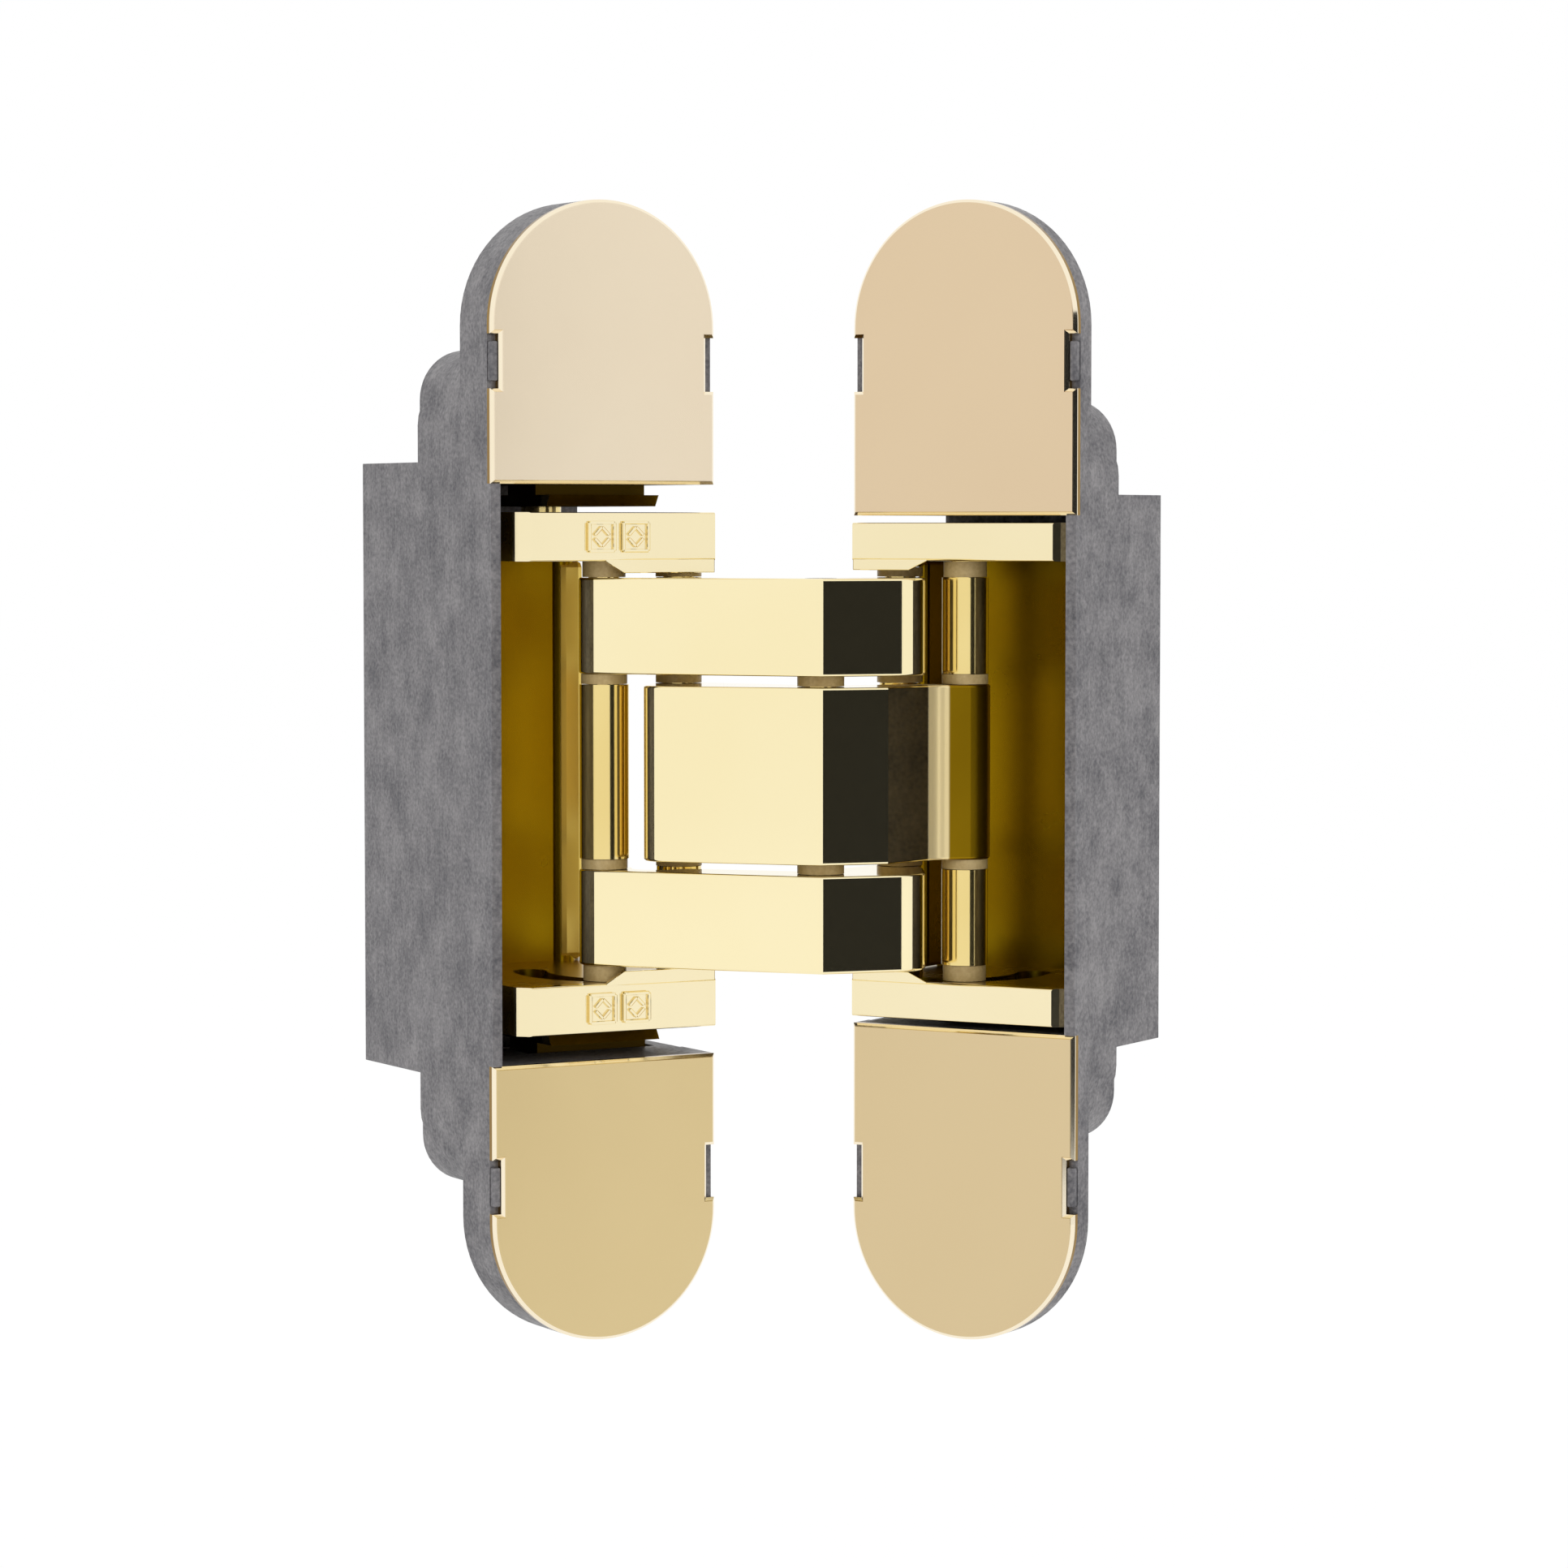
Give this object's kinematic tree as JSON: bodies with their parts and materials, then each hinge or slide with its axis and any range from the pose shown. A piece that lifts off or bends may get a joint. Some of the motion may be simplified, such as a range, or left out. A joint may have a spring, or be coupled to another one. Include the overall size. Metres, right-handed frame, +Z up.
{
  "type": "concealed door hinge",
  "caption": "Concealed door hinge: two mortised leaves with round-ended covers, joined by crossing arms that fold into pockets in both leaves when the door shuts.",
  "frame": {"origin": "middle of the back of the frame leaf's flange, between its two outer screws", "axes": "+X from the frame leaf's outer edge towards the arms, +Y into the door frame's wood, +Z up; the door leaf stands at 120 degrees of opening"},
  "size_m": [0.0647, 0.0576, 0.11],
  "materials": {
    "grey_zinc": "matt",
    "champagne_gold": "satin",
    "satin_gold": "satin",
    "polished_gold": "polished",
    "steel": "turned",
    "nylon": "matt"
  },
  "bodies": {
    "frame_leaf": {"frame_housing": "grey_zinc", "frame_cover_top": "champagne_gold", "frame_cover_bottom": "champagne_gold"},
    "cross_slides": {"slide_plate_top": "satin_gold", "slide_plate_bottom": "satin_gold", "height_screw_top": "steel", "height_screw_bottom": "steel"},
    "frame_mechanism": {"frame_carrier": "satin_gold", "frame_pivot_pin": "steel", "frame_pivot_sleeves": "polished_gold", "frame_pivot_washers": "nylon"},
    "middle_arm_group": {"middle_arm": "polished_gold", "centre_pin": "steel", "centre_washers": "nylon", "door_slider_pin": "steel", "door_slider_sleeves": "polished_gold", "door_slider_washers": "nylon", "door_slider_end_washers": "nylon"},
    "outer_arm_group": {"outer_arm_top": "polished_gold", "outer_arm_bottom": "polished_gold", "frame_slider_pin": "steel", "frame_slider_sleeve": "polished_gold", "frame_slider_washers": "nylon", "frame_slider_end_washers": "nylon"},
    "door_leaf": {"door_housing": "grey_zinc", "door_carrier": "satin_gold", "door_cover_top": "champagne_gold", "door_cover_bottom": "champagne_gold", "door_pivot_pin": "steel", "door_pivot_sleeve": "polished_gold", "door_pivot_washers": "nylon", "door_clamp_screw_top": "steel", "door_clamp_screw_bottom": "steel"}
  },
  "joints": [
    {"name": "side_adjust", "type": "slide", "parent": "frame_leaf", "child": "cross_slides", "axis": [1, 0, 0], "range_m": [-0.001, 0.001]},
    {"name": "height_adjust", "type": "slide", "parent": "cross_slides", "child": "frame_mechanism", "axis": [0, 0, 1], "range_m": [-0.0005, 0.0005]},
    {"name": "frame_pivot", "type": "hinge", "parent": "frame_mechanism", "child": "middle_arm_group", "pos_m": [0.01, -0.0032, 0], "axis": [0, 0, 1], "range_deg": [-77.4, 38.7]},
    {"name": "centre_pivot", "type": "hinge", "parent": "middle_arm_group", "child": "outer_arm_group", "pos_m": [0.01638, -0.01982, 0], "axis": [0, 0, 1], "range_deg": [-12.3, 24.5]},
    {"name": "door_pivot", "type": "hinge", "parent": "outer_arm_group", "child": "door_leaf", "pos_m": [0.02904, -0.01361, 0], "axis": [0, 0, 1], "range_deg": [-67.1, 33.6]}
  ],
  "couplings": [
    {"joint": "centre_pivot", "follows": "frame_pivot", "ratio": -0.31473},
    {"joint": "door_pivot", "follows": "frame_pivot", "ratio": 0.86512}
  ]
}
